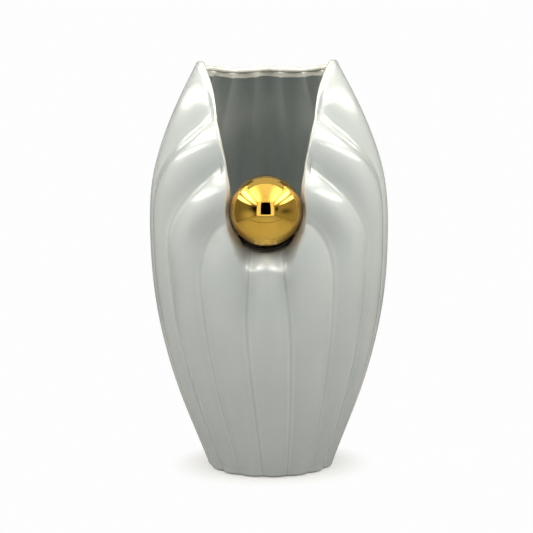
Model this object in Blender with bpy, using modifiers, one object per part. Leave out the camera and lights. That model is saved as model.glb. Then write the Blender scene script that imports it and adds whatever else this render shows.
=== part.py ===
"""Ribbed porcelain vase with a V-shaped mouth and a gold ball seated in the V.

Units are metres and angles are degrees.  +Z is up, the origin is the centre of the foot, and the V
opens towards -Y.  Three pieces: the slip-cast body, the hollow ball and the bead of adhesive.
"""

import math

import bmesh
import bpy
import numpy as np
from mathutils import Matrix, Vector

# ---- driving dimensions -------------------------------------------------------------------------

RIBS = 16                       # one rib faces straight forward, one straight back
WALL = 0.0045                   # thickness of the cast wall
FOOT_ROUND = 0.003              # rounding between the standing face and the wall
BEND_DROP = 0.032               # how far below its bend point a rib starts to lean over

# Outline of the barrel over the rib crests: height, radius.
BARREL = (
    (0.000, 0.0470),
    (0.020, 0.0548),
    (0.050, 0.0665),
    (0.085, 0.0774),
    (0.130, 0.0861),
    (0.175, 0.0889),
    (0.220, 0.0856),
    (0.260, 0.0722),
    (0.300, 0.0538),
)

# How the ribs meet the mouth, from the front (0) round one side to the back (180).
# Rib angle at the foot; angle and height where the rib turns into the lip; height of the bend
# point below it; length of the rounding, rise and inward depth of the lip.
MOUTH = (
    (0.00, 0.0, 0.1530, 0.118, 0.0070, 0.0290, 0.0395),
    (11.25, 8.5, 0.1495, 0.124, 0.0070, 0.0335, 0.0370),
    (22.50, 14.2, 0.1660, 0.146, 0.0060, 0.0225, 0.0270),
    (33.75, 19.2, 0.1885, 0.178, 0.0035, 0.0110, 0.0150),
    (45.00, 19.5, 0.2075, 0.187, 0.0035, 0.0040, 0.0080),
    (56.25, 23.0, 0.2280, 0.198, 0.0040, 0.0020, 0.0060),
    (67.50, 27.5, 0.2470, 0.216, 0.0035, 0.0015, 0.0045),
    (78.75, 35.0, 0.2640, 0.237, 0.0030, 0.0015, 0.0040),
    (84.40, 44.0, 0.2810, 0.253, 0.0030, 0.0010, 0.0040),
    (90.00, 64.0, 0.2955, 0.265, 0.0030, 0.0010, 0.0040),
    (101.25, 98.0, 0.2970, 0.272, 0.0030, 0.0000, 0.0040),
    (112.50, 111.5, 0.2970, 0.275, 0.0030, 0.0000, 0.0040),
    (135.00, 134.5, 0.2970, 0.275, 0.0030, 0.0000, 0.0040),
    (157.50, 157.5, 0.2965, 0.275, 0.0030, 0.0000, 0.0040),
    (180.00, 180.0, 0.2975, 0.275, 0.0030, 0.0000, 0.0040),
)

# The lip.
LIP_LEAD = 0.0025               # the edge lies this far on in the rib's own direction
LIP_FULLNESS = 0.14             # share of the way to the edge where the rounding ends
LIP_STRAIGHT = 30.0             # ribs nearer the front than this run straight up into the lip
LIP_TURN_BAND = 20.0            # and those this much further round follow their bend

# Depth of the grooves between ribs.
GROOVE_FOOT = 0.0024
GROOVE_BELLY = 0.0042
GROOVE_MOUTH = 0.0072           # at the front of the mouth, under the ball
GROOVE_SIDE = 0.0105            # beside the V, where the ribs lean over
GROOVE_GROWTH = 0.090           # height over which the foot's depth grows to the belly's
MOUTH_BAND = 0.055              # the grooves deepen over this height below the lip
MOUTH_SIDE = 125.0              # rib angle where the deepening starts, counted from the front
MOUTH_SIDE_BAND = 50.0          # and the band over which it grows
GROOVE_LIP_LEFT = 0.25          # share of the depth that reaches the edge of the lip
FADE_BAND = 0.015               # the depth fades over this height below the lip
FADE_BELOW = 0.4                # by this share, and by the rest across the lip
LEVEL_BAND = 0.020              # up to here the grooves are cut in level, so the foot stays flat

# Kiln twist: the lower ribs are turned a little about the axis.
TWIST = 5.0
TWIST_TOP = 0.160
TWIST_POWER = 1.6

BALL_CENTRE = Vector((0.0, -0.075, 0.1953))
BALL_RADIUS = 0.025
BALL_WALL = 0.003
SEAT_CLEARANCE = 0.0010         # body to ball
SEAT_TILT = 41.0                # the seat's axis points down, tilted back by this angle

# Adhesive bead along the front of the seat.
BEAD_RADIUS = 0.0013
BEAD_END = 0.3                  # radius at the bead's ends, as a share
BEAD_TAPER = 4                  # power of the taper towards the ends
BEAD_ANGLE = 46.0               # between the seat's axis and the bead, seen from the ball's centre
BEAD_SPREAD = 75.0              # the bead runs this far round to each side
BEAD_GAP = 0.0003               # bead to ball, and bead to body
BEAD_ROOM = 9.0                 # the seat is hollowed this far either side of the bead
BEAD_ROOM_EDGE = 6.0            # and fades back over this much more
BEAD_POINTS = 27

COLUMNS_PER_RIB = 6
WALL_ROWS = 13
SLOPE_STEP = 0.0005             # half the step over which the barrel's slope is taken
LIP_STEPS = (0.15, 0.3, 0.45, 0.6, 0.75, 0.88, 1.0)
BALL_SEGMENTS = 32
BALL_RINGS = 16

COLOURS = {                     # linear colour, roughness, metallic
    "vase_body": ((0.62, 0.63, 0.60), 0.08, 0.0),
    "gold_ball": ((0.86, 0.60, 0.20), 0.08, 1.0),
    "ball_adhesive": ((0.010, 0.009, 0.008), 0.30, 0.0),
}

PITCH = 360.0 / RIBS
UP = np.array((0.0, 0.0, 1.0))
SEAT_AXIS = Vector(
    (0.0, math.sin(math.radians(SEAT_TILT)), -math.cos(math.radians(SEAT_TILT)))
)


# ---- curves through a few points ----------------------------------------------------------------

def spline(xs, ys):
    """Natural cubic spline through the points, as a function of an array."""
    xs = np.asarray(xs, float)
    ys = np.asarray(ys, float)
    count = len(xs)
    step = np.diff(xs)
    matrix = np.eye(count)
    right = np.zeros(count)
    for i in range(1, count - 1):
        matrix[i, i - 1:i + 2] = step[i - 1], 2.0 * (step[i - 1] + step[i]), step[i]
        right[i] = 6.0 * ((ys[i + 1] - ys[i]) / step[i] - (ys[i] - ys[i - 1]) / step[i - 1])
    bend = np.linalg.solve(matrix, right)

    def value(x):
        x = np.clip(x, xs[0], xs[-1])
        i = np.clip(np.searchsorted(xs, x, side="right") - 1, 0, count - 2)
        h = step[i]
        a = (xs[i + 1] - x) / h
        b = 1.0 - a
        cubic = (a ** 3 - a) * bend[i] + (b ** 3 - b) * bend[i + 1]
        return a * ys[i] + b * ys[i + 1] + cubic * h * h / 6.0

    return value


def mouth_curve(column):
    """One column of MOUTH over the rib angle, mirrored past the front and the back."""
    angle = np.array([row[0] for row in MOUTH])
    value = np.array([row[column] for row in MOUTH])
    before = value[3:0:-1]
    after = value[-2:-5:-1]
    if column == 1:             # the lip's own angle is odd about the front and the back
        before = -before
        after = 360.0 - after
    angles = np.concatenate((-angle[3:0:-1], angle, 360.0 - angle[-2:-5:-1]))
    return spline(angles, np.concatenate((before, value, after)))


def ease(x):
    x = np.clip(x, 0.0, 1.0)
    return x * x * (3.0 - 2.0 * x)


barrel_radius = spline(*zip(*BARREL))
MOUTH_CURVES = [mouth_curve(column) for column in range(1, 7)]


# ---- the ribbed surface -------------------------------------------------------------------------

def outward(angle):
    """Horizontal unit vectors pointing out at the angles, 0 being the front."""
    turn = np.radians(angle)
    return np.stack((np.sin(turn), -np.cos(turn), np.zeros_like(turn)), -1)


def sideways(angle):
    turn = np.radians(angle)
    return np.stack((np.cos(turn), np.sin(turn), np.zeros_like(turn)), -1)


def barrel_slope(height):
    change = barrel_radius(height + SLOPE_STEP) - barrel_radius(height - SLOPE_STEP)
    return change / (2.0 * SLOPE_STEP)


def barrel_point(angle, height):
    return outward(angle) * barrel_radius(height)[:, None] + UP * height[:, None]


def groove_heading(angle, height):
    """The way out of a groove: square to the barrel, but level near the foot."""
    slope = (barrel_slope(height) * ease((height - FOOT_ROUND) / LEVEL_BAND))[:, None]
    return (outward(angle) - UP * slope) / np.sqrt(1.0 + slope * slope)


def groove_depth(rib_angle, height, lip_height, lip):
    """How far the surface lies below the rib crests: rounded ribs meeting in sharp grooves."""
    across = rib_angle / PITCH - np.round(rib_angle / PITCH)
    low = GROOVE_FOOT + (GROOVE_BELLY - GROOVE_FOOT) * ease(height / GROOVE_GROWTH)
    beside_mouth = ease((MOUTH_SIDE - rib_angle) / MOUTH_SIDE_BAND)
    near_mouth = ease(1.0 - (lip_height - height) / MOUTH_BAND)
    lean = ease((rib_angle - LIP_STRAIGHT) / LIP_TURN_BAND)
    deepest = GROOVE_MOUTH + (GROOVE_SIDE - GROOVE_MOUTH) * lean
    depth = low + (deepest - GROOVE_BELLY) * beside_mouth * near_mouth
    near_lip = ease(1.0 - (lip_height - height) / FADE_BAND)
    fade = ease(FADE_BELOW * near_lip + (1.0 - FADE_BELOW) * lip)
    return depth * (2.0 * across) ** 2 * (1.0 - (1.0 - GROOVE_LIP_LEFT) * fade)


def seat_push(points):
    """Move points away from the ball so that the seat keeps its clearance, with room for the bead."""
    from_ball = points - np.array(BALL_CENTRE)
    distance = np.linalg.norm(from_ball, axis=1)
    direction = from_ball / distance[:, None]
    polar = np.degrees(np.arccos(np.clip(direction @ np.array(SEAT_AXIS), -1.0, 1.0)))
    hollow = 2.0 * BEAD_RADIUS + 4.0 * BEAD_GAP - SEAT_CLEARANCE
    fade = ease(1.0 - (np.abs(polar - BEAD_ANGLE) - BEAD_ROOM) / BEAD_ROOM_EDGE)
    limit = BALL_RADIUS + SEAT_CLEARANCE + hollow * fade
    return points + direction * np.maximum(limit - distance, 0.0)[:, None]


def twist(points):
    turn = np.radians(TWIST) * np.clip(1.0 - points[:, 2] / TWIST_TOP, 0.0, 1.0) ** TWIST_POWER
    x, y, z = points.T
    return np.stack((x * np.cos(turn) - y * np.sin(turn), x * np.sin(turn) + y * np.cos(turn), z), -1)


def body_row(rib_angles, up, lip):
    """Points of the outer surface, one per rib angle (-180 to 180).

    up runs from 0 at the foot to 1 where the ribs turn into the lip, and lip from there to 1 at
    the lip's edge.
    """
    side = np.where(rib_angles < 0.0, -1.0, 1.0)
    rib = np.abs(rib_angles)
    end_angle, end_height, bend_height, length, rise, depth = [c(rib) for c in MOUTH_CURVES]
    start_height = bend_height - BEND_DROP

    # The rib's path on the barrel: straight up, then bending over to its end.
    lean = max(2.0 * up - 1.0, 0.0)
    if lean > 0.0:
        height = (1.0 - lean) ** 2 * start_height + 2.0 * lean * (1.0 - lean) * bend_height
        height = height + lean * lean * end_height
    else:
        height = FOOT_ROUND + (start_height - FOOT_ROUND) * 2.0 * up
    angle = rib + (end_angle - rib) * lean * lean
    points = barrel_point(angle, height)
    headings = groove_heading(angle, height)

    if lip > 0.0:
        across = barrel_radius(end_height) * np.radians(end_angle - rib)
        across = across * ease((rib - LIP_STRAIGHT) / LIP_TURN_BAND)
        along = sideways(end_angle) * across[:, None]
        climb = outward(end_angle) * barrel_slope(end_height)[:, None] + UP
        heading = along + climb * (end_height - bend_height)[:, None]
        heading /= np.linalg.norm(heading, axis=1)[:, None]
        shoulder = points + heading * length[:, None]
        edge = points + heading * LIP_LEAD + UP * rise[:, None] - outward(end_angle) * depth[:, None]
        inner = shoulder + LIP_FULLNESS * (edge - shoulder)
        rest = 1.0 - lip
        points = (
            rest ** 3 * points
            + 3.0 * lip * rest ** 2 * shoulder
            + 3.0 * lip ** 2 * rest * inner
            + lip ** 3 * edge
        )

    points = points - headings * groove_depth(rib, height, end_height, lip)[:, None]
    points = seat_push(points)
    points[:, 0] *= side
    return twist(points)


# ---- building blocks ----------------------------------------------------------------------------

def clear_scene():
    for obj in list(bpy.data.objects):
        bpy.data.objects.remove(obj, do_unlink=True)


def make_material(name):
    colour, roughness, metallic = COLOURS[name]
    material = bpy.data.materials.new(name)
    material.use_nodes = True
    shader = material.node_tree.nodes["Principled BSDF"]
    shader.inputs["Base Color"].default_value = (*colour, 1.0)
    shader.inputs["Roughness"].default_value = roughness
    shader.inputs["Metallic"].default_value = metallic
    return material


def add_object(name, data, collection):
    obj = bpy.data.objects.new(name, data)
    obj.data.materials.append(make_material(name))
    collection.objects.link(obj)
    return obj


def add_wall(obj, thickness):
    """Give an open surface its thickness, inwards."""
    wall = obj.modifiers.new("wall", "SOLIDIFY")
    wall.thickness = thickness
    wall.offset = -1.0
    wall.use_even_offset = False


# ---- the pieces ---------------------------------------------------------------------------------

def make_body(collection):
    """The slip-cast body: a loft of the ribbed surface from the standing face to the lip."""
    count = RIBS * COLUMNS_PER_RIB
    rib_angles = -180.0 + 360.0 * (np.arange(count) + 1.0) / count

    wall = [body_row(rib_angles, up, 0.0) for up in np.linspace(0.0, 1.0, WALL_ROWS)]
    wall += [body_row(rib_angles, 1.0, lip) for lip in LIP_STEPS]

    # The standing face ends in a quarter round, here a chamfer in two steps.
    foot = wall[0] * (1.0, 1.0, 0.0)
    radial = foot / np.linalg.norm(foot, axis=1)[:, None]
    corner = 1.0 - math.sqrt(0.5)
    rows = [
        foot - radial * FOOT_ROUND,
        foot + (UP - radial) * FOOT_ROUND * corner,
        *wall,
    ]

    mesh = bmesh.new()
    rings = [[mesh.verts.new(point) for point in row] for row in rows]
    centre = mesh.verts.new((0.0, 0.0, 0.0))
    for i in range(count):
        j = (i + 1) % count
        mesh.faces.new((centre, rings[0][j], rings[0][i]))
        for low, high in zip(rings, rings[1:]):
            mesh.faces.new((low[i], low[j], high[j], high[i]))
    data = bpy.data.meshes.new("vase_body")
    mesh.to_mesh(data)
    mesh.free()
    body = add_object("vase_body", data, collection)
    data.shade_smooth()
    add_wall(body, WALL)


def make_ball(collection):
    """The hollow ball.  Its lowest ring of faces is left out: the firing vent, turned to the seat."""
    mesh = bmesh.new()
    bmesh.ops.create_uvsphere(
        mesh, u_segments=BALL_SEGMENTS, v_segments=BALL_RINGS, radius=BALL_RADIUS
    )
    lowest = min(mesh.verts, key=lambda vert: vert.co.z)
    bmesh.ops.delete(mesh, geom=[lowest], context="VERTS")
    data = bpy.data.meshes.new("gold_ball")
    mesh.to_mesh(data)
    mesh.free()
    ball = add_object("gold_ball", data, collection)
    ball.location = BALL_CENTRE
    ball.rotation_euler = (math.radians(SEAT_TILT), 0.0, 0.0)
    data.shade_smooth()
    add_wall(ball, BALL_WALL)


def make_adhesive(collection):
    """The bead between ball and body: a tube round the front of the seat, thinner at its ends."""
    curve = bpy.data.curves.new("ball_adhesive", "CURVE")
    curve.dimensions = "3D"
    curve.bevel_depth = BEAD_RADIUS
    curve.bevel_resolution = 2
    curve.use_fill_caps = True
    path = curve.splines.new("POLY")
    path.points.add(BEAD_POINTS - 1)
    forward = Vector((0.0, SEAT_AXIS.z, -SEAT_AXIS.y))
    angle = math.radians(BEAD_ANGLE)
    start = SEAT_AXIS * math.cos(angle) + forward * math.sin(angle)
    reach = BALL_RADIUS + BEAD_GAP + BEAD_RADIUS
    for i, point in enumerate(path.points):
        share = 2.0 * i / (BEAD_POINTS - 1) - 1.0
        turn = Matrix.Rotation(math.radians(BEAD_SPREAD * share), 3, SEAT_AXIS)
        point.co = (*(BALL_CENTRE + turn @ start * reach), 1.0)
        point.radius = 1.0 - (1.0 - BEAD_END) * share ** BEAD_TAPER
    add_object("ball_adhesive", curve, collection)


def main():
    clear_scene()
    collection = bpy.data.collections.new("porcelain_vase")
    bpy.context.scene.collection.children.link(collection)
    make_body(collection)
    make_ball(collection)
    make_adhesive(collection)


main()
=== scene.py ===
"""Finished look of a ribbed porcelain vase with a gold ball seated in its V-shaped mouth."""

import math

import bmesh
import bpy
import numpy as np
from bpy.props import FloatProperty, FloatVectorProperty, IntProperty, PointerProperty
from mathutils import Matrix, Quaternion, Vector


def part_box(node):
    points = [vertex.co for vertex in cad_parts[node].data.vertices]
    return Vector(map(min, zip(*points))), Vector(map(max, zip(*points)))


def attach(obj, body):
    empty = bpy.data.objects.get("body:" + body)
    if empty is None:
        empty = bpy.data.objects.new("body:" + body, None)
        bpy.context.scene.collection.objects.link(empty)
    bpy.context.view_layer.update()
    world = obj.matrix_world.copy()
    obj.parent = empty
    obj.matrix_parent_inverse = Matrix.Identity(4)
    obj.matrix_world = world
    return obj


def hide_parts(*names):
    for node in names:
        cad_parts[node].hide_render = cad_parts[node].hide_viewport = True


bl_info = {
    "name": "Ribbed vase",
    "version": (1, 0, 0),
    "blender": (4, 5, 0),
    "location": "3D View > Sidebar > Vase",
    "description": "Glazed body, gold ball, adhesive bead and a plain studio for a ribbed vase",
    "category": "Object",
}

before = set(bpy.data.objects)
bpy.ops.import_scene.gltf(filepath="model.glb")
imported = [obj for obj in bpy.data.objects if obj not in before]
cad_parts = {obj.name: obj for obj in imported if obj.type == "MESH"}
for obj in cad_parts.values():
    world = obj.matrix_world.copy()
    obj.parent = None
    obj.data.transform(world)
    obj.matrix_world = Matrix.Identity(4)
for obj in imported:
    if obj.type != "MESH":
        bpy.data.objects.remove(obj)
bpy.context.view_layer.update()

BODY = "root"
UP = np.array((0.0, 0.0, 1.0))
WHITE = (1.0, 1.0, 1.0)
BACKGROUND = 0.985              # radiance of the background, just short of clipping


# ---- the shape of the casting -------------------------------------------------------------------
# Metres, and degrees round the axis from the front (-Y).  These repeat the CAD model's own rules.

RIBS = 16
PITCH = 360.0 / RIBS
FOOT_ROUND = 0.003              # rounding between the standing face and the wall
BEND_DROP = 0.032               # how far below its bend point a rib starts to lean over

# Outline of the barrel over the rib crests: height, radius.
BARREL = (
    (0.000, 0.0470),
    (0.020, 0.0548),
    (0.050, 0.0665),
    (0.085, 0.0774),
    (0.130, 0.0861),
    (0.175, 0.0889),
    (0.220, 0.0856),
    (0.260, 0.0722),
    (0.300, 0.0538),
)

# How the ribs meet the mouth, from the front (0) round one side to the back (180).
# Rib angle at the foot; angle and height where the rib turns into the lip; height of the bend
# point below it; length of the rounding, rise and inward depth of the lip.
MOUTH = (
    (0.00, 0.0, 0.1530, 0.118, 0.0070, 0.0290, 0.0395),
    (11.25, 8.5, 0.1495, 0.124, 0.0070, 0.0335, 0.0370),
    (22.50, 14.2, 0.1660, 0.146, 0.0060, 0.0225, 0.0270),
    (33.75, 19.2, 0.1885, 0.178, 0.0035, 0.0110, 0.0150),
    (45.00, 19.5, 0.2075, 0.187, 0.0035, 0.0040, 0.0080),
    (56.25, 23.0, 0.2280, 0.198, 0.0040, 0.0020, 0.0060),
    (67.50, 27.5, 0.2470, 0.216, 0.0035, 0.0015, 0.0045),
    (78.75, 35.0, 0.2640, 0.237, 0.0030, 0.0015, 0.0040),
    (84.40, 44.0, 0.2810, 0.253, 0.0030, 0.0010, 0.0040),
    (90.00, 64.0, 0.2955, 0.265, 0.0030, 0.0010, 0.0040),
    (101.25, 98.0, 0.2970, 0.272, 0.0030, 0.0000, 0.0040),
    (112.50, 111.5, 0.2970, 0.275, 0.0030, 0.0000, 0.0040),
    (135.00, 134.5, 0.2970, 0.275, 0.0030, 0.0000, 0.0040),
    (157.50, 157.5, 0.2965, 0.275, 0.0030, 0.0000, 0.0040),
    (180.00, 180.0, 0.2975, 0.275, 0.0030, 0.0000, 0.0040),
)

# The lip.
LIP_LEAD = 0.0025               # the edge lies this far on in the rib's own direction
LIP_FULLNESS = 0.14             # share of the way to the edge where the rounding ends
LIP_STRAIGHT = 30.0             # ribs nearer the front than this run straight up into the lip
LIP_TURN_BAND = 20.0            # and those this much further round follow their bend

# Depth of the grooves between ribs.
GROOVE_FOOT = 0.0024
GROOVE_BELLY = 0.0042
GROOVE_MOUTH = 0.0072           # at the front of the mouth, under the ball
GROOVE_SIDE = 0.0105            # beside the V, where the ribs lean over
GROOVE_GROWTH = 0.090           # height over which the foot's depth grows to the belly's
MOUTH_BAND = 0.055              # the grooves deepen over this height below the lip
MOUTH_SIDE = 125.0              # rib angle where the deepening starts, counted from the front
MOUTH_SIDE_BAND = 50.0          # and the band over which it grows
GROOVE_LIP_LEFT = 0.25          # share of the depth that reaches the edge of the lip
FADE_BAND = 0.015               # the depth fades over this height below the lip
FADE_BELOW = 0.4                # by this share, and by the rest across the lip
LEVEL_BAND = 0.020              # up to here the grooves are cut in level, so the foot stays flat

TWIST = 5.0                     # kiln twist of the lower ribs
TWIST_TOP = 0.160
TWIST_POWER = 1.6

ball_low, ball_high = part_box("gold_ball")
BALL_CENTRE = Vector((0.0, *((ball_low + ball_high) / 2.0)[1:]))
BALL_RADIUS = (ball_high.x - ball_low.x) / 2.0
BALL_WALL = 0.003
SEAT_TILT = 41.0
SEAT_AXIS = Vector((0.0, math.sin(math.radians(SEAT_TILT)), -math.cos(math.radians(SEAT_TILT))))
BEAD_ANGLE = 46.0
BEAD_ROOM = 5.0                 # the seat is hollowed this far either side of the bead
BEAD_ROOM_EDGE = 8.0            # and fades back over this much more
BEAD_GAP = 0.0002               # bead to ball
BEAD_POINTS = 61
VENT_ANGLE = 11.25              # half angle of the ball's vent

# How finely the glazed surface is built.
COLUMNS_PER_RIB = 20
STRAIGHT_ROWS = 60
BEND_ROWS = 60
LIP_ROWS = 36
RIM_ROWS = 7
# Over these rows the outside glaze is painted lighter, partly as painted highlight.
EDGE_ROWS = 8                   # rows over which the outside glaze thins towards the lip
FOOT_RINGS = (0.0, 0.4, 0.75)   # rings of the standing face, as shares of its radius
FOOT_CENTRE = 0.004             # radius of the innermost one
CORNER_ROWS = 6                 # rows round the lower edge of the foot
CLAY_ROWS = 3                   # and how many of them are left bare
FINE_ROWS = 8                   # this far below the lip the inside has quarter rows
FLOOR_RINGS = (0.97, 0.9, 0.6, 0.15)
FLOOR_FADE = (0.9, 0.7, 0.3, 0.0)   # share of the grooves' depth left on each of them
FLOOR_RISE = 0.0022             # the inside floor lies this much above the wall's thickness
FLOOR_DIP = 0.0015              # and sinks by this towards its middle
SLOPE_STEP = 0.0005             # half the step over which the barrel's slope is taken
WRAP_SAG = 0.11                 # unevenness of the glaze edge inside the rim, share of its depth
WRAP_WAVES = (9, 16)            # and how many waves of it run round the rim
SKIN_INSET = 0.0003             # keeps the smooth crests inside the flat-sided CAD ones
BALL_INSET = 0.0001
RIM_FULLNESS = 0.94             # height of the half-round edge, as a share of its half width


def spline(xs, ys):
    """Natural cubic spline through the points, as a function of an array."""
    xs = np.asarray(xs, float)
    ys = np.asarray(ys, float)
    count = len(xs)
    step = np.diff(xs)
    matrix = np.eye(count)
    right = np.zeros(count)
    for i in range(1, count - 1):
        matrix[i, i - 1:i + 2] = step[i - 1], 2.0 * (step[i - 1] + step[i]), step[i]
        right[i] = 6.0 * ((ys[i + 1] - ys[i]) / step[i] - (ys[i] - ys[i - 1]) / step[i - 1])
    bend = np.linalg.solve(matrix, right)

    def value(x):
        x = np.clip(x, xs[0], xs[-1])
        i = np.clip(np.searchsorted(xs, x, side="right") - 1, 0, count - 2)
        h = step[i]
        a = (xs[i + 1] - x) / h
        b = 1.0 - a
        cubic = (a ** 3 - a) * bend[i] + (b ** 3 - b) * bend[i + 1]
        return a * ys[i] + b * ys[i + 1] + cubic * h * h / 6.0

    return value


def mouth_curve(column):
    """One column of MOUTH over the rib angle, mirrored past the front and the back."""
    angle = np.array([row[0] for row in MOUTH])
    value = np.array([row[column] for row in MOUTH])
    before = value[3:0:-1]
    after = value[-2:-5:-1]
    if column == 1:             # the lip's own angle is odd about the front and the back
        before = -before
        after = 360.0 - after
    angles = np.concatenate((-angle[3:0:-1], angle, 360.0 - angle[-2:-5:-1]))
    return spline(angles, np.concatenate((before, value, after)))


def ease(x):
    x = np.clip(x, 0.0, 1.0)
    return x * x * (3.0 - 2.0 * x)


barrel_radius = spline(*zip(*BARREL))
MOUTH_CURVES = [mouth_curve(column) for column in range(1, 7)]


def outward(angle):
    """Horizontal unit vectors pointing out at the angles."""
    turn = np.radians(angle)
    return np.stack((np.sin(turn), -np.cos(turn), np.zeros_like(turn)), -1)


def sideways(angle):
    turn = np.radians(angle)
    return np.stack((np.cos(turn), np.sin(turn), np.zeros_like(turn)), -1)


def barrel_slope(height):
    rise = barrel_radius(height + SLOPE_STEP) - barrel_radius(height - SLOPE_STEP)
    return rise / (2.0 * SLOPE_STEP)


def twisted(points, heights):
    """Turn the points, or directions at the heights, by the kiln twist."""
    turn = np.radians(TWIST) * np.clip(1.0 - heights / TWIST_TOP, 0.0, 1.0) ** TWIST_POWER
    x, y, z = points.T
    cos, sin = np.cos(turn), np.sin(turn)
    return np.stack((x * cos - y * sin, x * sin + y * cos, z), -1)


def seat_push(points, clearance, bead_room):
    """Move points away from the ball: the seat keeps its clearance, with room for the bead."""
    from_ball = points - np.array(BALL_CENTRE)
    distance = np.linalg.norm(from_ball, axis=1)
    direction = from_ball / distance[:, None]
    polar = np.degrees(np.arccos(np.clip(direction @ np.array(SEAT_AXIS), -1.0, 1.0)))
    fade = ease(1.0 - (np.abs(polar - BEAD_ANGLE) - BEAD_ROOM) / BEAD_ROOM_EDGE)
    limit = BALL_RADIUS + clearance + bead_room * fade
    return points + direction * np.maximum(limit - distance, 0.0)[:, None]


def blank_row(rib_angles, up, lip, sizes):
    """One row of the casting without its grooves: points, and the grooves' headings and depths.

    up runs from 0 at the foot to 1 where the ribs turn into the lip, and lip from there to 1 at
    the lip's edge.
    """
    side = np.where(rib_angles < 0.0, -1.0, 1.0)
    rib = np.abs(rib_angles)
    end_angle, end_height, bend_height, length, rise, depth = [c(rib) for c in MOUTH_CURVES]
    start_height = bend_height - BEND_DROP

    lean = max(2.0 * up - 1.0, 0.0)
    if lean > 0.0:
        height = (1.0 - lean) ** 2 * start_height + 2.0 * lean * (1.0 - lean) * bend_height
        height = height + lean * lean * end_height
    else:
        height = FOOT_ROUND + (start_height - FOOT_ROUND) * 2.0 * up
    angle = rib + (end_angle - rib) * lean * lean
    points = outward(angle) * barrel_radius(height)[:, None] + UP * height[:, None]
    slope = (barrel_slope(height) * ease((height - FOOT_ROUND) / LEVEL_BAND))[:, None]
    normals = (outward(angle) - UP * slope) / np.sqrt(1.0 + slope * slope)

    if lip > 0.0:
        across = barrel_radius(end_height) * np.radians(end_angle - rib)
        across = across * ease((rib - LIP_STRAIGHT) / LIP_TURN_BAND)
        climb = outward(end_angle) * barrel_slope(end_height)[:, None] + UP
        climb = climb * (end_height - bend_height)[:, None]
        heading = sideways(end_angle) * across[:, None] + climb
        heading /= np.linalg.norm(heading, axis=1)[:, None]
        shoulder = points + heading * length[:, None]
        edge = points + heading * LIP_LEAD + UP * rise[:, None]
        edge = edge - outward(end_angle) * depth[:, None]
        inner = shoulder + LIP_FULLNESS * (edge - shoulder)
        rest = 1.0 - lip
        points = (
            rest ** 3 * points
            + 3.0 * lip * rest ** 2 * shoulder
            + 3.0 * lip ** 2 * rest * inner
            + lip ** 3 * edge
        )

    low = GROOVE_FOOT + (GROOVE_BELLY - GROOVE_FOOT) * ease(height / GROOVE_GROWTH)
    beside_mouth = ease((MOUTH_SIDE - rib) / MOUTH_SIDE_BAND)
    near_mouth = ease(1.0 - (end_height - height) / MOUTH_BAND)
    leaning = ease((rib - LIP_STRAIGHT) / LIP_TURN_BAND)
    deepest = GROOVE_MOUTH + (GROOVE_SIDE - GROOVE_MOUTH) * leaning
    groove = low + (deepest - GROOVE_BELLY) * beside_mouth * near_mouth
    near_lip = ease(1.0 - (end_height - height) / FADE_BAND)
    fade = ease(FADE_BELOW * near_lip + (1.0 - FADE_BELOW) * lip)
    groove = groove * (1.0 - (1.0 - GROOVE_LIP_LEFT) * fade)

    points = seat_push(points, sizes.seat_clearance, 2.0 * sizes.bead_radius)
    for vectors in (points, normals):
        vectors[:, 0] *= side
    return twisted(points, points[:, 2]), twisted(normals, points[:, 2]), groove


def grid_normals(rows):
    """Unit normals of a closed band of rows, shape (rows, columns, 3)."""
    around = np.roll(rows, -1, axis=1) - np.roll(rows, 1, axis=1)
    along = np.gradient(rows, axis=0)
    normals = np.cross(around, along)
    return normals / np.linalg.norm(normals, axis=2)[:, :, None]


def between(rows, place):
    """The row at a fractional index."""
    low = int(place)
    share = place - low
    return rows[low] * (1.0 - share) + rows[min(low + 1, len(rows) - 1)] * share


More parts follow.
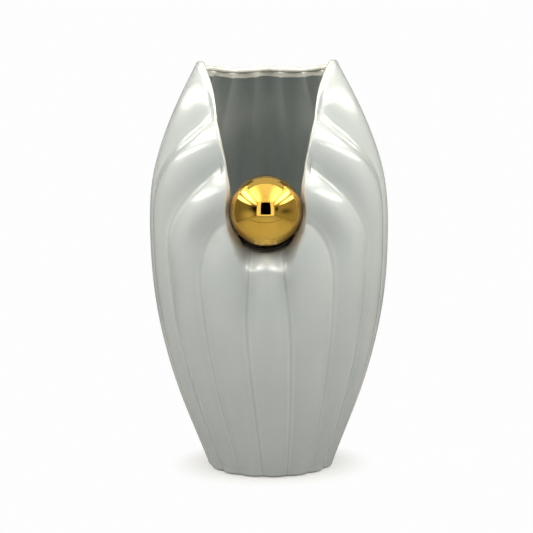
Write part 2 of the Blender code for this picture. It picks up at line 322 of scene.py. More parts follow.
def casting(sizes):
    """The whole casting as rows of points from the standing face over the lip to the inner floor.

    Returns the angles of the columns, rows, rib normals, groove depths, the zone of each row
    (clay, outer or inner glaze), its nearness to the lip, and where the white glaze wraps inside.
    """
    count = RIBS * COLUMNS_PER_RIB
    rib_angles = -180.0 + 360.0 * (np.arange(count) + 1.0) / count

    steps = [(up, 0.0) for up in np.linspace(0.0, 0.5, STRAIGHT_ROWS, endpoint=False)]
    steps += [(up, 0.0) for up in np.linspace(0.5, 1.0, BEND_ROWS, endpoint=False)]
    steps += [(1.0, lip) for lip in np.linspace(0.0, 1.0, LIP_ROWS)]
    made = [blank_row(rib_angles, up, lip, sizes) for up, lip in steps]
    outer, normals, grooves = (np.array(part) for part in zip(*made))

    facing = grid_normals(outer)
    outer = outer - facing * SKIN_INSET
    lip_share = np.array([lip for _, lip in steps])[:, None, None]
    wall = sizes.wall + (sizes.lip_wall - sizes.wall) * lip_share
    inner = outer - facing * wall

    # Half-round edge between the outer and inner surfaces.
    heading = outer[-1] - outer[-2]
    heading /= np.linalg.norm(heading, axis=1)[:, None]
    middle = (outer[-1] + inner[-1]) / 2.0
    half = (outer[-1] - inner[-1]) / 2.0
    radius = np.linalg.norm(half, axis=1)[:, None]
    rim = []
    for i in range(1, RIM_ROWS + 1):
        turn = math.pi * i / (RIM_ROWS + 1)
        rise = radius * (RIM_FULLNESS * math.sin(turn))
        rim.append(middle + half * math.cos(turn) + heading * rise)

    # Rounded lower edge of the foot, and the flat standing face.
    radial = outer[0] * (1.0, 1.0, 0.0)
    radial /= np.linalg.norm(radial, axis=1)[:, None]
    foot = [radial * FOOT_CENTRE]
    for share in FOOT_RINGS[1:]:
        foot.append(outer[0] * (share, share, 0.0) - radial * FOOT_ROUND * share)
    for i in range(CORNER_ROWS):
        turn = math.pi / 2.0 * i / CORNER_ROWS
        drop = FOOT_ROUND * (1.0 - math.sin(turn))
        lift = FOOT_ROUND * (1.0 - math.cos(turn))
        foot.append(outer[0] * (1.0, 1.0, 0.0) - radial * drop + UP * lift)

    under_lip = STRAIGHT_ROWS + BEND_ROWS
    inner_rows = (
        list(range(len(steps) - 1, under_lip, -2))
        + list(np.arange(under_lip, under_lip - FINE_ROWS, -0.25))
        + list(range(under_lip - FINE_ROWS, STRAIGHT_ROWS, -2))
        + list(range(STRAIGHT_ROWS, 0, -3))
    )
    floor = []
    inner_foot = inner[2] * (1.0, 1.0, 0.0)
    for share in FLOOR_RINGS:
        drop = FLOOR_DIP * (1.0 - share) ** 0.5
        floor.append(inner_foot * (share, share, 0.0) + UP * (sizes.wall + FLOOR_RISE - drop))

    rows = foot + list(outer) + rim + [between(inner, i) for i in inner_rows] + floor
    ribs = (
        [normals[0]] * len(foot)
        + list(normals)
        + [normals[-1]] * len(rim)
        + [between(normals, i) for i in inner_rows]
        + [normals[0]] * len(floor)
    )
    foot_fade = FOOT_RINGS + (1.0,) * CORNER_ROWS
    depths = (
        [grooves[0] * fade for fade in foot_fade]
        + list(grooves)
        + [grooves[-1]] * len(rim)
        + [between(grooves, i) for i in inner_rows]
        + [grooves[0] * share for share in FLOOR_FADE]
    )
    zones = (
        ["clay"] * (len(FOOT_RINGS) + CLAY_ROWS)
        + ["outer"] * (CORNER_ROWS - CLAY_ROWS + len(outer) + RIM_ROWS - 2)
        + ["inner"] * (2 + len(inner_rows) + len(floor))
    )
    first_rim = len(foot) + len(outer)
    rows = np.array(rows)
    row_numbers = np.arange(len(rows))
    edge = np.clip(2.0 - (first_rim - row_numbers) / EDGE_ROWS, 0.0, 1.0)
    past_rim = np.linalg.norm(rows - rows[first_rim + RIM_ROWS], axis=2)
    turn = np.radians(rib_angles)
    sag = WRAP_SAG * (np.sin(WRAP_WAVES[0] * turn + 1.0) + np.sin(WRAP_WAVES[1] * turn + 2.2))
    # The outside glaze inside the rim leaves a light band over the grey inside: partly painted
    # highlight on the lit rim.
    wrapped = (past_rim < sizes.wrap * (1.0 + sag)) & (row_numbers >= first_rim)[:, None]
    return rib_angles, rows, np.array(ribs), np.array(depths), zones, edge, wrapped


# ---- node helpers -------------------------------------------------------------------------------

def linear(colour):
    """sRGB hex, such as "d0a060", to linear RGB."""
    channels = [int(colour[i:i + 2], 16) / 255.0 for i in (0, 2, 4)]
    return tuple(c / 12.92 if c <= 0.04045 else ((c + 0.055) / 1.055) ** 2.4 for c in channels)


def node(tree, kind, inputs=None, **settings):
    """Add a node: settings are its properties, inputs are values or sockets to link from."""
    made = tree.nodes.new(kind)
    for key, value in settings.items():
        setattr(made, key, value)
    for key, value in (inputs or {}).items():
        socket = made.inputs[key]
        if isinstance(value, bpy.types.NodeSocket):
            tree.links.new(value, socket)
        else:
            socket.default_value = value
    return made


def maths(tree, operation, *values):
    return node(tree, "ShaderNodeMath", dict(enumerate(values)), operation=operation).outputs[0]


def remap(tree, value, low, high, to_low=0.0, to_high=1.0, smooth=False):
    """The value carried from one range to another, and held at both ends."""
    return node(
        tree, "ShaderNodeMapRange",
        {"Value": value, "From Min": low, "From Max": high, "To Min": to_low, "To Max": to_high},
        interpolation_type="SMOOTHSTEP" if smooth else "LINEAR",
    ).outputs["Result"]


def noise(tree, place, scale, detail=2.0, roughness=0.5):
    return node(
        tree, "ShaderNodeTexNoise",
        {"Vector": place, "Scale": scale, "Detail": detail, "Roughness": roughness},
    ).outputs["Fac"]


def object_place(tree):
    return node(tree, "ShaderNodeTexCoord").outputs["Object"]


def height_of(tree, place):
    return node(tree, "ShaderNodeSeparateXYZ", {0: place}).outputs["Z"]


def cleared(holder):
    """The emptied node tree of a material or world."""
    holder.use_nodes = True
    holder.node_tree.nodes.clear()
    return holder.node_tree


def new_material(name):
    """A node material with its Principled shader and output, and its object coordinates."""
    material = bpy.data.materials.new(name)
    tree = cleared(material)
    shader = node(tree, "ShaderNodeBsdfPrincipled")
    node(tree, "ShaderNodeOutputMaterial", {"Surface": shader.outputs["BSDF"]})
    return material, tree, shader, object_place(tree)


def constants(shader, values):
    for name, value in values.items():
        shader.inputs[name].default_value = value


def bump(tree, shader, height, distance, strength=1.0):
    made = node(
        tree, "ShaderNodeBump", {"Height": height, "Distance": distance, "Strength": strength}
    )
    tree.links.new(made.outputs["Normal"], shader.inputs["Normal"])


def blend_colour(tree, share, first, second):
    """From the first colour to the second by the share; colours are sockets or linear RGB."""
    mix = node(tree, "ShaderNodeMix", data_type="RGBA")
    sockets = {socket.identifier: socket for socket in mix.inputs}
    tree.links.new(share, sockets["Factor_Float"])
    for key, value in (("A_Color", first), ("B_Color", second)):
        if isinstance(value, bpy.types.NodeSocket):
            tree.links.new(value, sockets[key])
        else:
            sockets[key].default_value = (*value, 1.0)
    return next(socket for socket in mix.outputs if socket.identifier == "Result_Color")


# ---- finishes -----------------------------------------------------------------------------------

def white_glaze(colours):
    """Clear feldspathic glaze over white porcelain: a soft body under a glass-smooth skin.

    It pools a little bluer in the grooves, where its lighter tone is partly painted reflection,
    with painted shade along their bottoms, and it runs thin and warm over the lip, where its
    lighter tone is partly painted highlight.
    """
    material, tree, shader, place = new_material("white_porcelain_glaze")
    in_groove = node(tree, "ShaderNodeAttribute", attribute_name="groove").outputs["Fac"]
    thin = node(tree, "ShaderNodeAttribute", attribute_name="edge").outputs["Fac"]

    # Clouding of the coat, patches about 40 mm across.
    cloud = remap(tree, noise(tree, place, 25.0, 3.0), 0.35, 0.65, 0.0, 0.55)
    colour = blend_colour(tree, cloud, colours.glaze, colours.glaze_cloud)

    # The pool comes and goes along a groove, over 50 mm or so; its lighter tone is partly painted
    # reflection. The darker line at its bottom is painted shade in the crease.
    uneven = remap(tree, noise(tree, place, 20.0), 0.35, 0.65, 0.10, 0.55)
    pool_and_reflection = maths(tree, "MULTIPLY", remap(tree, in_groove, 0.50, 0.85, smooth=True), uneven)
    colour = blend_colour(tree, pool_and_reflection, colour, colours.glaze_pool_and_reflection)
    bottom = remap(tree, in_groove, 0.72, 0.85, 0.0, 0.38, smooth=True)
    colour = blend_colour(tree, bottom, colour, colours.painted_crease_shade)
    # Lighter towards the lip, over the rim and in the band inside it: partly thin glaze, partly
    # painted highlight.
    colour = blend_colour(tree, maths(tree, "MULTIPLY", thin, 0.7), colour, colours.glaze_thin_and_highlight)

    # Painted shade on the dish below the ball, fading out 10 mm from the ball.
    from_ball = node(
        tree, "ShaderNodeVectorMath", {0: place, 1: tuple(BALL_CENTRE)}, operation="DISTANCE"
    ).outputs["Value"]
    near = remap(
        tree, from_ball, BALL_RADIUS + 0.010, BALL_RADIUS + 0.001, 0.0, 0.75, smooth=True
    )
    level = BALL_CENTRE.z
    below = remap(tree, height_of(tree, place), level - 0.004, level - 0.016, smooth=True)
    colour = blend_colour(tree, maths(tree, "MULTIPLY", near, below), colour, colours.film)

    # Iron specks, 1 to 1.5 mm across and a few centimetres apart.
    specks = node(tree, "ShaderNodeTexVoronoi", {"Vector": place, "Scale": 38.0, "Randomness": 1.0})
    spot = remap(tree, specks.outputs["Distance"], 0.030, 0.018, 0.0, 0.55)
    rare = maths(tree, "GREATER_THAN", specks.outputs["Color"], 0.86)
    colour = blend_colour(tree, maths(tree, "MULTIPLY", spot, rare), colour, colours.speck)
    tree.links.new(colour, shader.inputs["Base Color"])

    constants(shader, {"Roughness": 0.24, "IOR": 1.5})
    constants(shader, {"Coat Weight": 1.0, "Coat Roughness": 0.04, "Coat IOR": 1.5})
    # Waviness of the fired coat, about 12 mm from wave to wave.
    bump(tree, shader, noise(tree, place, 85.0, 1.0), 0.00020, 0.9)
    return material


def grey_glaze(colours):
    """Grey liner glaze poured round the inside: satin, streaked downwards. Its grey is partly
    painted shade for the dim inside, and it is darker near the rim as painted shade.
    """
    material, tree, shader, place = new_material("liner_glaze_and_shade")
    stretched = node(
        tree, "ShaderNodeMapping", {"Vector": place, "Scale": (70.0, 70.0, 4.0)}
    ).outputs["Vector"]
    streaks = remap(tree, noise(tree, stretched, 1.0, 3.0, 0.6), 0.35, 0.7)
    colour = blend_colour(tree, streaks, colours.liner, colours.liner_streak)
    # Darker over the top 45 mm of the wall: painted shade under the rim.
    drained = remap(tree, height_of(tree, place), 0.300, 0.255, smooth=True)
    colour = blend_colour(tree, drained, colours.painted_rim_shade, colour)
    tree.links.new(colour, shader.inputs["Base Color"])
    constants(shader, {"Roughness": 0.35, "IOR": 1.5})
    return material


def bare_clay(colours):
    """Unglazed porcelain biscuit, ground flat after firing and stained by handling: dry, gritty."""
    material, tree, shader, place = new_material("bare_biscuit_clay")
    stain = remap(tree, noise(tree, place, 60.0, 4.0), 0.3, 0.7)
    colour = blend_colour(tree, stain, colours.clay, colours.clay_stain)
    tree.links.new(colour, shader.inputs["Base Color"])
    constants(shader, {"Roughness": 0.85})
    # Grit of about 0.5 mm, coarser than the real 0.1 mm so that it shows.
    bump(tree, shader, noise(tree, place, 1800.0), 0.0001)
    return material


def gold_lustre(colours):
    """Bright gold film fired over glaze: a mirror with the slow waviness of the glaze below."""
    material, tree, shader, place = new_material("fired_gold_lustre")
    film = remap(tree, noise(tree, place, 60.0), 0.3, 0.7)
    colour = blend_colour(tree, film, colours.gold, colours.gold_deep)
    tree.links.new(colour, shader.inputs["Base Color"])
    constants(shader, {"Metallic": 1.0, "Roughness": 0.04})
    bump(tree, shader, noise(tree, place, 90.0, 1.0), 0.0001, 0.5)
    return material


def dark_epoxy_and_gap_shade(colours):
    """Black two-part epoxy, wiped while wet: dull with slight lumps. Its near-black is partly
    painted shade for the deep gap under the ball.
    """
    material, tree, shader, place = new_material("black_epoxy_and_gap_shade")
    lumps = noise(tree, place, 400.0)
    constants(shader, {"Base Color": (*colours.epoxy, 1.0)})
    rough = remap(tree, lumps, 0.0, 1.0, 0.6, 0.9)
    tree.links.new(rough, shader.inputs["Roughness"])
    bump(tree, shader, lumps, 0.0002)
    return material


# ---- geometry nodes -----------------------------------------------------------------------------

def new_group(name, sockets):
    """A geometry node group with a geometry input and output and the named inputs."""
    group = bpy.data.node_groups.new(name, "GeometryNodeTree")
    group.interface.new_socket("Geometry", in_out="INPUT", socket_type="NodeSocketGeometry")
    for label, kind, default in sockets:
        socket = group.interface.new_socket(label, in_out="INPUT", socket_type=kind)
        if default is not None:
            socket.default_value = default
    group.interface.new_socket("Geometry", in_out="OUTPUT", socket_type="NodeSocketGeometry")
    return group


def rib_group():
    """Raise the ribs: rounded crests, meeting in grooves whose bottoms are rounded by the glaze."""
    group = new_group(
        "raise_ribs",
        (("Depth", "NodeSocketFloat", 1.0), ("Crease Rounding", "NodeSocketFloat", 0.08)),
    )
    source = node(group, "NodeGroupInput").outputs
    across, depth, normal = (
        node(
            group, "GeometryNodeInputNamedAttribute", {"Name": name}, data_type=kind
        ).outputs["Attribute"]
        for name, kind in (
            ("across", "FLOAT"), ("groove_depth", "FLOAT"), ("rib_normal", "FLOAT_VECTOR")
        )
    )

    from_groove = maths(group, "SUBTRACT", 1.0, maths(group, "MULTIPLY", across, 2.0))
    squared = maths(group, "POWER", from_groove, 2.0)
    rounding = maths(group, "POWER", source["Crease Rounding"], 2.0)
    rounded = maths(group, "SQRT", maths(group, "ADD", squared, rounding))
    above = maths(group, "MAXIMUM", maths(group, "SUBTRACT", 1.0, rounded), 0.0)
    share = maths(group, "POWER", above, 2.0)
    sunk = maths(group, "MULTIPLY", maths(group, "MULTIPLY", share, depth), source["Depth"])
    offset = node(
        group, "ShaderNodeVectorMath",
        {0: normal, "Scale": maths(group, "MULTIPLY", sunk, -1.0)}, operation="SCALE",
    ).outputs["Vector"]
    moved = node(
        group, "GeometryNodeSetPosition", {"Geometry": source["Geometry"], "Offset": offset}
    ).outputs["Geometry"]
    stored = node(
        group, "GeometryNodeStoreNamedAttribute",
        {"Geometry": moved, "Name": "groove", "Value": share},
        data_type="FLOAT", domain="POINT",
    ).outputs["Geometry"]
    node(group, "NodeGroupOutput", {"Geometry": stored})
    return group


def bead_group():
    """Sweep a round section along the seat, lumpy and thinning towards both ends."""
    group = new_group(
        "lay_bead",
        (
            ("Radius", "NodeSocketFloat", 0.0013),
            ("End Share", "NodeSocketFloat", 0.3),
            ("Sides", "NodeSocketInt", 18),
            ("Material", "NodeSocketMaterial", None),
        ),
    )
    source = node(group, "NodeGroupInput").outputs
    along = node(group, "GeometryNodeSplineParameter").outputs["Factor"]
    from_middle = maths(group, "SUBTRACT", maths(group, "MULTIPLY", along, 2.0), 1.0)
    from_middle = maths(group, "ABSOLUTE", from_middle)
    loss = maths(group, "SUBTRACT", 1.0, source["End Share"])
    lost = maths(group, "MULTIPLY", maths(group, "POWER", from_middle, 4.0), loss)
    scale = maths(group, "SUBTRACT", 1.0, lost)
    lump = node(group, "ShaderNodeTexNoise", {"Scale": 220.0, "Detail": 1.0}).outputs["Fac"]
    uneven = maths(group, "ADD", maths(group, "MULTIPLY", lump, 0.16), 0.88)
    lumpy = maths(group, "MULTIPLY", scale, uneven)
    section = node(
        group, "GeometryNodeCurvePrimitiveCircle",
        {"Resolution": source["Sides"], "Radius": source["Radius"]},
    ).outputs["Curve"]
    swept = node(
        group, "GeometryNodeCurveToMesh",
        {
            "Curve": node(
                group, "GeometryNodeSetCurveRadius",
                {"Curve": source["Geometry"], "Radius": lumpy},
            ).outputs["Curve"],
            "Profile Curve": section,
            "Fill Caps": True,
        },
    ).outputs["Mesh"]
    welded = node(
        group, "GeometryNodeMergeByDistance", {"Geometry": swept, "Distance": 0.00001}
    ).outputs["Geometry"]
    smooth = node(
        group, "GeometryNodeSetShadeSmooth", {"Geometry": welded, "Shade Smooth": True}
    ).outputs["Geometry"]
    real = node(group, "GeometryNodeRealizeInstances", {"Geometry": smooth}).outputs["Geometry"]
    finished = node(
        group, "GeometryNodeSetMaterial", {"Geometry": real, "Material": source["Material"]}
    ).outputs["Geometry"]
    node(group, "NodeGroupOutput", {"Geometry": finished})
    return group


def apply_group(obj, group, values):
    """Run a node group on an object and keep the plain mesh that it makes."""
    modifier = obj.modifiers.new(group.name, "NODES")
    modifier.node_group = group
    for item in group.interface.items_tree:
        if item.item_type == "SOCKET" and item.in_out == "INPUT" and item.name in values:
            modifier[item.identifier] = values[item.name]
    shown = obj.evaluated_get(bpy.context.evaluated_depsgraph_get())
    mesh = bpy.data.meshes.new_from_object(shown)
    mesh.name = obj.name
    name = obj.name
    bpy.data.objects.remove(obj, do_unlink=True)
    finished = bpy.data.objects.new(name, mesh)
    bpy.context.scene.collection.objects.link(finished)
    return finished


# ---- settings -----------------------------------------------------------------------------------

class VaseSizes(bpy.types.PropertyGroup):
    """Sizes of the finished surface that may be changed."""

    wall: FloatProperty(
        name="Wall", description="Thickness of the cast wall", default=0.0045, unit="LENGTH"
    )
    lip_wall: FloatProperty(
        name="Lip", description="Thickness at the edge of the mouth", default=0.0040, unit="LENGTH"
    )
    # The light band this leaves inside the rim is partly painted highlight.
    wrap: FloatProperty(
        name="Glaze overlap", description="How far the outside glaze runs down inside the rim",
        default=0.0036, unit="LENGTH",
    )
    rib_depth: FloatProperty(
        name="Rib depth", description="Depth of the grooves, 1 being the CAD depth", default=1.0
    )
    crease: FloatProperty(
        name="Crease rounding", description="How far the glaze rounds the grooves", default=0.08
    )
    seat_clearance: FloatProperty(
        name="Seat clearance", description="Gap between seat and ball", default=0.0007,
        unit="LENGTH",
    )
    bead_radius: FloatProperty(
        name="Bead radius", description="Radius of the adhesive bead", default=0.0013, unit="LENGTH"
    )
    bead_spread: FloatProperty(
        name="Bead spread", description="How far the bead runs to each side",
        default=math.radians(75.0), subtype="ANGLE",
    )
    ball_segments: IntProperty(
        name="Ball segments", description="Faces round the ball", default=160
    )


def colour_property(label, description, colour):
    return FloatVectorProperty(
        name=label, description=description, default=linear(colour), size=3, subtype="COLOR",
        min=0.0, max=1.0,
    )


class VaseColours(bpy.types.PropertyGroup):
    """Colours of the finishes."""

    glaze: colour_property("Glaze", "Outside glaze on the ribs", "c0c6ca")
    glaze_cloud: colour_property("Glaze clouding", "Outside glaze where it is thicker", "b8bfc4")
    # Lighter than the glaze: partly pooled glaze, partly painted reflection in the grooves.
    glaze_pool_and_reflection: colour_property("Pooled glaze", "Glaze in the grooves", "d3dadd")
    # Painted shade along the bottoms of the grooves.
    painted_crease_shade: colour_property("Deep glaze", "Glaze in the very bottom of the grooves", "9aa1a1")
    # Lighter over the lip and the rim: partly thin glaze, partly painted highlight.
    glaze_thin_and_highlight: colour_property("Thin glaze", "Glaze over the lip", "ebe8e0")
    # Painted shade on the dish under the ball.
    film: colour_property("Adhesive film", "Wiped film on the dish under the ball", "8b8270")
    speck: colour_property("Specks", "Iron specks in the glaze", "6b6459")
    # Greyer than the outside glaze: partly painted shade for the dim inside.
    liner: colour_property("Liner", "Inside glaze", "afb5b4")
    liner_streak: colour_property("Liner streaks", "Drained streaks of the inside glaze", "a2a9aa")
    # Painted shade under the rim.
    painted_rim_shade: colour_property("Thin liner", "Inside glaze near the rim, drained thin", "737a7c")
    clay: colour_property("Clay", "Bare clay of the standing face", "b9a98f")
    clay_stain: colour_property("Stained clay", "Handling stains on the clay", "8d7558")
    gold: colour_property("Gold", "Gold film", "ebc05a")
    gold_deep: colour_property("Deep gold", "Gold film where it is thicker", "e0b048")
    # Near-black, partly as painted shade in the gap under the ball.
    epoxy: colour_property("Epoxy", "Adhesive", "050404")


class VaseStage(bpy.types.PropertyGroup):
    """The studio."""

    camera_distance: FloatProperty(
        name="Camera distance", description="From the vase's axis", default=1.03, unit="LENGTH"
    )
    camera_height: FloatProperty(
        name="Camera height", description="Above the standing face", default=0.254, unit="LENGTH"
    )
    camera_turn: FloatProperty(
        name="Camera turn", description="Round the vase from its front", default=math.radians(1.4),
        subtype="ANGLE",
    )
    camera_roll: FloatProperty(
        name="Camera roll", description="Tilt of the picture", default=math.radians(-0.61),
        subtype="ANGLE",
    )
    camera_lens: FloatProperty(
        name="Lens", description="Focal length in millimetres", default=93.5
    )
    top_light: FloatProperty(name="Top light", description="Radiance of the ceiling", default=1.17)
    bar_light: FloatProperty(
        name="Bar light", description="Radiance of the lamps behind the side walls", default=13.0
    )
    side_light: FloatProperty(
        name="Side light", description="Radiance of the side walls", default=0.22
    )
    front_light: FloatProperty(
        name="Front light", description="Radiance of the front wall", default=1.3
    )
    floor_tone: FloatProperty(
        name="Floor", description="Share of light the floor returns", default=0.42
    )


# ---- operators ----------------------------------------------------------------------------------

class VASE_OT_body(bpy.types.Operator):
    """Build the glazed casting"""

    bl_idname = "vase.body"
    bl_label = "Body"

    def execute(self, context):
        sizes = context.scene.vase_sizes
        colours = context.scene.vase_colours
        rib_angles, rows, ribs, depths, zones, edge, wrapped = casting(sizes)
        row_count, columns = depths.shape

        vertices = np.concatenate((rows.reshape(-1, 3), [rows[0].mean(axis=0) * (0.0, 0.0, 1.0)]))
        floor_middle = rows[-1].mean(axis=0) * (0.0, 0.0, 1.0)
        vertices = np.concatenate((vertices, [floor_middle]))
        low = np.arange(row_count - 1)[:, None] * columns + np.arange(columns)[None, :]
        following = np.roll(low, -1, axis=1)
        quads = np.stack((low, following, following + columns, low + columns), -1).reshape(-1, 4)
        base_middle = row_count * columns
        last = (row_count - 1) * columns
        faces = quads.tolist()
        for i in range(columns):
            j = (i + 1) % columns
            faces.append((base_middle, j, i))
            faces.append((base_middle + 1, last + i, last + j))

        mesh = bpy.data.meshes.new("vase_shell")
        mesh.from_pydata(vertices.tolist(), [], faces)
        across = np.abs(rib_angles / PITCH - np.round(rib_angles / PITCH))
        values = {
            "across": np.concatenate((np.tile(across, row_count), (0.0, 0.0))),
            "groove_depth": np.concatenate((depths.ravel(), (0.0, 0.0))),
            "edge": np.concatenate((np.repeat(edge, columns), (0.0, 0.0))),
        }
        for name, data in values.items():
            mesh.attributes.new(name, "FLOAT", "POINT").data.foreach_set("value", data)
        directions = np.concatenate((ribs.reshape(-1, 3), np.zeros((2, 3))))
        mesh.attributes.new("rib_normal", "FLOAT_VECTOR", "POINT").data.foreach_set(
            "vector", directions.ravel()
        )
        for finish in (white_glaze(colours), grey_glaze(colours), bare_clay(colours)):
            mesh.materials.append(finish)
        slot = {"outer": 0, "inner": 1, "clay": 2}
        indices = np.repeat([slot[zone] for zone in zones[:-1]], columns)
        indices[wrapped[1:].ravel()] = slot["outer"]
        indices = np.concatenate((indices, np.tile((2, 1), columns)))
        mesh.polygons.foreach_set("material_index", indices)
        blank = bpy.data.objects.new("vase_shell", mesh)
        context.scene.collection.objects.link(blank)

        shell = apply_group(
            blank, rib_group(), {"Depth": sizes.rib_depth, "Crease Rounding": sizes.crease}
        )
        shell.data.shade_smooth()
        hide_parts("vase_body")
        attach(shell, BODY)
        return {"FINISHED"}


class VASE_OT_ball(bpy.types.Operator):
    """Build the hollow gold ball"""

    bl_idname = "vase.ball"
    bl_label = "Ball"

    def execute(self, context):
        sizes = context.scene.vase_sizes
        segments = sizes.ball_segments
        mesh = bmesh.new()
        bmesh.ops.create_uvsphere(
            mesh, u_segments=segments, v_segments=segments // 2, radius=BALL_RADIUS - BALL_INSET
        )
        vent = -BALL_RADIUS * math.cos(math.radians(VENT_ANGLE))
        below = [vert for vert in mesh.verts if vert.co.z < vent]
        bmesh.ops.delete(mesh, geom=below, context="VERTS")
        data = bpy.data.meshes.new("lustre_ball")
        tilt = Matrix.Rotation(math.radians(SEAT_TILT), 4, "X")
        mesh.transform(Matrix.Translation(BALL_CENTRE) @ tilt)
        mesh.to_mesh(data)
        mesh.free()
        data.shade_smooth()
        data.materials.append(gold_lustre(context.scene.vase_colours))
        ball = bpy.data.objects.new("lustre_ball", data)
        context.scene.collection.objects.link(ball)
        wall = ball.modifiers.new("wall", "SOLIDIFY")
        wall.thickness = BALL_WALL
        wall.offset = -1.0
        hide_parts("gold_ball")
        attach(ball, BODY)
        return {"FINISHED"}


class VASE_OT_adhesive(bpy.types.Operator):
    """Lay the adhesive bead along the seat"""

    bl_idname = "vase.adhesive"
    bl_label = "Adhesive"

    def execute(self, context):
        sizes = context.scene.vase_sizes
        curve = bpy.data.curves.new("adhesive_bead", "CURVE")
        curve.dimensions = "3D"
        path = curve.splines.new("POLY")
        path.points.add(BEAD_POINTS - 1)
        forward = SEAT_AXIS.cross(Vector((1.0, 0.0, 0.0)))
        angle = math.radians(BEAD_ANGLE)
        start = SEAT_AXIS * math.cos(angle) + forward * math.sin(angle)
        reach = BALL_RADIUS + BEAD_GAP + sizes.bead_radius
        for i, point in enumerate(path.points):
            turn = sizes.bead_spread * (2.0 * i / (BEAD_POINTS - 1) - 1.0)
            spot = BALL_CENTRE + Matrix.Rotation(turn, 3, SEAT_AXIS) @ start * reach
            point.co = (*spot, 1.0)
        line = bpy.data.objects.new("adhesive_bead", curve)
        context.scene.collection.objects.link(line)
        bead = apply_group(
            line,
            bead_group(),
            {"Radius": sizes.bead_radius, "Material": dark_epoxy_and_gap_shade(context.scene.vase_colours)},
        )
        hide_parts("ball_adhesive")
        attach(bead, BODY)
        return {"FINISHED"}


def stage_plane(name, centre, across, up, material, seen=False):
    """A flat stage panel given by its centre and its two half-edges."""
    centre, across, up = Vector(centre), Vector(across), Vector(up)
    corners = [centre + across * i + up * j for i, j in ((-1, -1), (1, -1), (1, 1), (-1, 1))]
    mesh = bpy.data.meshes.new(name)
    mesh.from_pydata(corners, [], [(0, 1, 2, 3)])
    mesh.materials.append(material)
    panel = bpy.data.objects.new(name, mesh)
    bpy.context.scene.collection.objects.link(panel)
    panel.visible_camera = seen


def emission(tree, tint, strength):
    return node(
        tree, "ShaderNodeEmission", {"Color": (*tint, 1.0), "Strength": strength}
    ).outputs["Emission"]


def length_of(tree, vector):
    return node(tree, "ShaderNodeVectorMath", {0: vector}, operation="LENGTH").outputs["Value"]


def patch(tree, place, centre, spread):
    """Share from 1 at the centre to 0 at the spread's ellipsoid, as a socket."""
    moved = node(
        tree, "ShaderNodeMapping", {"Vector": place, "Location": centre, "Scale": spread},
        vector_type="TEXTURE",
    )
    return remap(tree, length_of(tree, moved.outputs["Vector"]), 1.0, 0.0, smooth=True)


def tent_cloth(name, strength, patches=(), tint=(1.0, 0.985, 0.93)):
    """White tent cloth lit from behind; each patch is (centre, spread, strength there)."""
    material = bpy.data.materials.new(name)
    tree = cleared(material)
    place = object_place(tree)
    level = strength
    for centre, spread, there in patches:
        level = node(
            tree, "ShaderNodeMix",
            {"Factor": patch(tree, place, centre, spread), "A": level, "B": there},
            data_type="FLOAT",
        ).outputs["Result"]
    node(tree, "ShaderNodeOutputMaterial", {"Surface": emission(tree, tint, level)})
    return material


def side_cloth(name, x, strength, stage, own):
    """A side wall's cloth: its own patches, the glow under the ceiling and two long lamps.

    Patches are ((y, z), spread, strength there).
    """
    glow = ((-0.30, 0.82), (1.2, 0.44), stage.top_light * 2.0)
    lamps = (
        ((-0.20, 0.62), (0.90, 0.110), stage.bar_light * 0.85),
        ((-0.05, 0.45), (0.60, 0.060), stage.bar_light * 0.7),
    )
    patches = [
        ((x, *place), (0.3, *spread), there) for place, spread, there in (*own, glow, *lamps)
    ]
    return tent_cloth(name, strength, patches, (1.0, 0.97, 0.82))


def set_out_tent(stage):
    """A light tent with lamps behind its side walls; the camera looks in through the front."""
    half, front, back, top = 0.50, -1.0, 0.60, 0.82
    seam = 0.006                # gap between neighbouring cloths
    middle, length = (front + back) / 2.0, (back - front) / 2.0
    side, top_light = stage.side_light, stage.top_light
    left_wall = side_cloth(
        "left_cloth", -half, side, stage,
        (((-0.82, 0.36), (0.55, 0.40), 0.0), ((-0.45, 0.10), (0.5, 0.22), side * 2.6)),
    )
    right_wall = side_cloth(
        "right_cloth", half, side * 1.6, stage,
        (((-0.78, 0.34), (0.24, 0.22), 0.02), ((-0.30, 0.20), (0.4, 0.12), side * 0.5)),
    )
    # The ceiling is brighter in front of light_end, brightest along both sides.
    light_end = 0.04
    light_middle, light_half = (front + light_end) / 2.0, (light_end - front) / 2.0
    lit_ceiling = tent_cloth(
        "lit_ceiling_cloth", top_light,
        (
            ((-half, light_middle, top), (0.42, 1.0, 0.3), top_light * 4.0),
            ((half, light_middle, top), (0.42, 1.0, 0.3), top_light * 4.0),
            ((0.0, -0.62, top), (0.03, 0.035, 0.3), 0.15),
        ),
    )
    rear_ceiling = tent_cloth("rear_ceiling_cloth", top_light * 0.55)
    back_wall = tent_cloth("back_cloth", side * 1.3)
    front_wall = tent_cloth("front_cloth", stage.front_light)
    black = tent_cloth("dark_room", 0.0)
    rise = (0.0, 0.0, top / 2.0 - seam)
    wide = (half - seam, 0.0, 0.0)
    panels = (
        ("left_wall", (-half, middle, top / 2.0), (0.0, length - seam, 0.0), rise, left_wall),
        ("right_wall", (half, middle, top / 2.0), (0.0, seam - length, 0.0), rise, right_wall),
        ("lit_ceiling", (0.0, light_middle, top), wide, (0.0, seam - light_half, 0.0), lit_ceiling),
        ("rear_ceiling", (0.0, (light_end + back) / 2.0, top), wide,
         (0.0, (light_end - back) / 2.0 + seam, 0.0), rear_ceiling),
        ("back_wall", (0.0, back, top / 2.0), wide, rise, back_wall),
        ("front_wall", (0.0, front, top / 2.0), (3.0 * seam - half, 0.0, 0.0), rise, front_wall),
        ("front_opening", (0.015, front + 0.01, 0.41), (-0.26, 0.0, 0.0), (0.0, 0.0, 0.34), black),
        # The edge of the board that the vase stands on, which the glaze reflects as a thin line.
        ("board_edge", (0.0, -0.38, 0.0005), (0.45, 0.0, 0.0), (0.0, 0.007, 0.0), black),
    )
    for panel in panels:
        stage_plane(*panel)


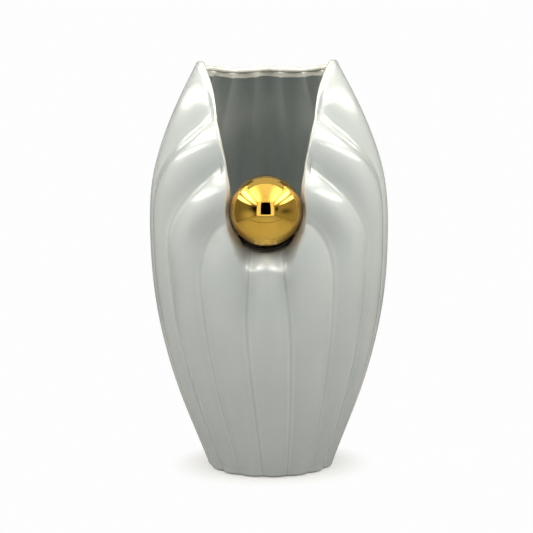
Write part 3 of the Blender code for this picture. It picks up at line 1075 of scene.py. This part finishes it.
def sweep_material(tone):
    """Pale paper floor that runs out into the bright background."""
    material = bpy.data.materials.new("pale_paper_floor")
    tree = cleared(material)
    far = remap(tree, length_of(tree, object_place(tree)), 0.045, 0.08, smooth=True)
    paper = node(tree, "ShaderNodeBsdfDiffuse", {"Color": (tone, tone, tone, 1.0)}).outputs["BSDF"]
    near = node(tree, "ShaderNodeAddShader", {0: paper, 1: emission(tree, WHITE, 0.42)})
    white = emission(tree, WHITE, BACKGROUND)
    seen = node(tree, "ShaderNodeMixShader", {0: far, 1: near.outputs["Shader"], 2: white})
    direct = node(tree, "ShaderNodeLightPath").outputs["Is Camera Ray"]
    surface = node(tree, "ShaderNodeMixShader", {0: direct, 1: paper, 2: seen.outputs["Shader"]})
    node(tree, "ShaderNodeOutputMaterial", {"Surface": surface.outputs["Shader"]})
    return material


class VASE_OT_stage(bpy.types.Operator):
    """Set out the floor, the light tent and the camera"""

    bl_idname = "vase.stage"
    bl_label = "Stage"

    def execute(self, context):
        scene = context.scene
        stage = scene.vase_stage
        scene.view_settings.view_transform = "Standard"

        world = bpy.data.worlds.new("studio")
        tree = cleared(world)
        direct = node(tree, "ShaderNodeLightPath").outputs["Is Camera Ray"]
        # What the vase sees of the room past the tent is dim and a little blue.
        room = node(
            tree, "ShaderNodeBackground", {"Color": (0.9, 0.95, 1.0, 1.0), "Strength": 0.12}
        )
        white = node(tree, "ShaderNodeBackground", {"Color": (*WHITE, 1.0), "Strength": BACKGROUND})
        mix = node(
            tree, "ShaderNodeMixShader",
            {0: direct, 1: room.outputs["Background"], 2: white.outputs["Background"]},
        )
        node(tree, "ShaderNodeOutputWorld", {"Surface": mix.outputs["Shader"]})
        scene.world = world

        stage_plane(
            "floor", (0.0, 0.0, -0.0003), (8.0, 0.0, 0.0), (0.0, 8.0, 0.0),
            sweep_material(stage.floor_tone), seen=True,
        )

        set_out_tent(stage)

        camera_data = bpy.data.cameras.new("camera")
        camera_data.lens = stage.camera_lens
        camera_data.sensor_width = 36.0
        camera = bpy.data.objects.new("camera", camera_data)
        turn = stage.camera_turn
        distance = stage.camera_distance
        place = Vector((distance * math.sin(turn), -distance * math.cos(turn), stage.camera_height))
        aim = Vector((-0.002, 0.0, 0.1492))
        camera.location = place
        camera.rotation_mode = "QUATERNION"
        look = (aim - place).to_track_quat("-Z", "Y")
        camera.rotation_quaternion = look @ Quaternion((0.0, 0.0, 1.0), stage.camera_roll)
        camera_data.clip_start = 0.05
        scene.collection.objects.link(camera)
        scene.camera = camera
        return {"FINISHED"}


class VASE_PT_panel(bpy.types.Panel):
    bl_label = "Vase"
    bl_idname = "VASE_PT_panel"
    bl_space_type = "VIEW_3D"
    bl_region_type = "UI"
    bl_category = "Vase"

    def draw(self, context):
        layout = self.layout
        for name in ("vase_sizes", "vase_colours", "vase_stage"):
            group = getattr(context.scene, name)
            box = layout.box()
            for item in group.__annotations__:
                box.prop(group, item)
        for operator in OPERATORS:
            layout.operator(operator.bl_idname)


OPERATORS = (VASE_OT_stage, VASE_OT_body, VASE_OT_ball, VASE_OT_adhesive)
SETTINGS = (
    ("vase_sizes", VaseSizes),
    ("vase_colours", VaseColours),
    ("vase_stage", VaseStage),
)


def register():
    for name, group in SETTINGS:
        bpy.utils.register_class(group)
        setattr(bpy.types.Scene, name, PointerProperty(type=group))
    for cls in (*OPERATORS, VASE_PT_panel):
        bpy.utils.register_class(cls)


def unregister():
    for cls in (VASE_PT_panel, *reversed(OPERATORS)):
        bpy.utils.unregister_class(cls)
    for name, group in reversed(SETTINGS):
        delattr(bpy.types.Scene, name)
        bpy.utils.unregister_class(group)


def main():
    register()
    bpy.ops.vase.stage()
    bpy.ops.vase.body()
    bpy.ops.vase.ball()
    bpy.ops.vase.adhesive()


if __name__ == "__main__":
    main()
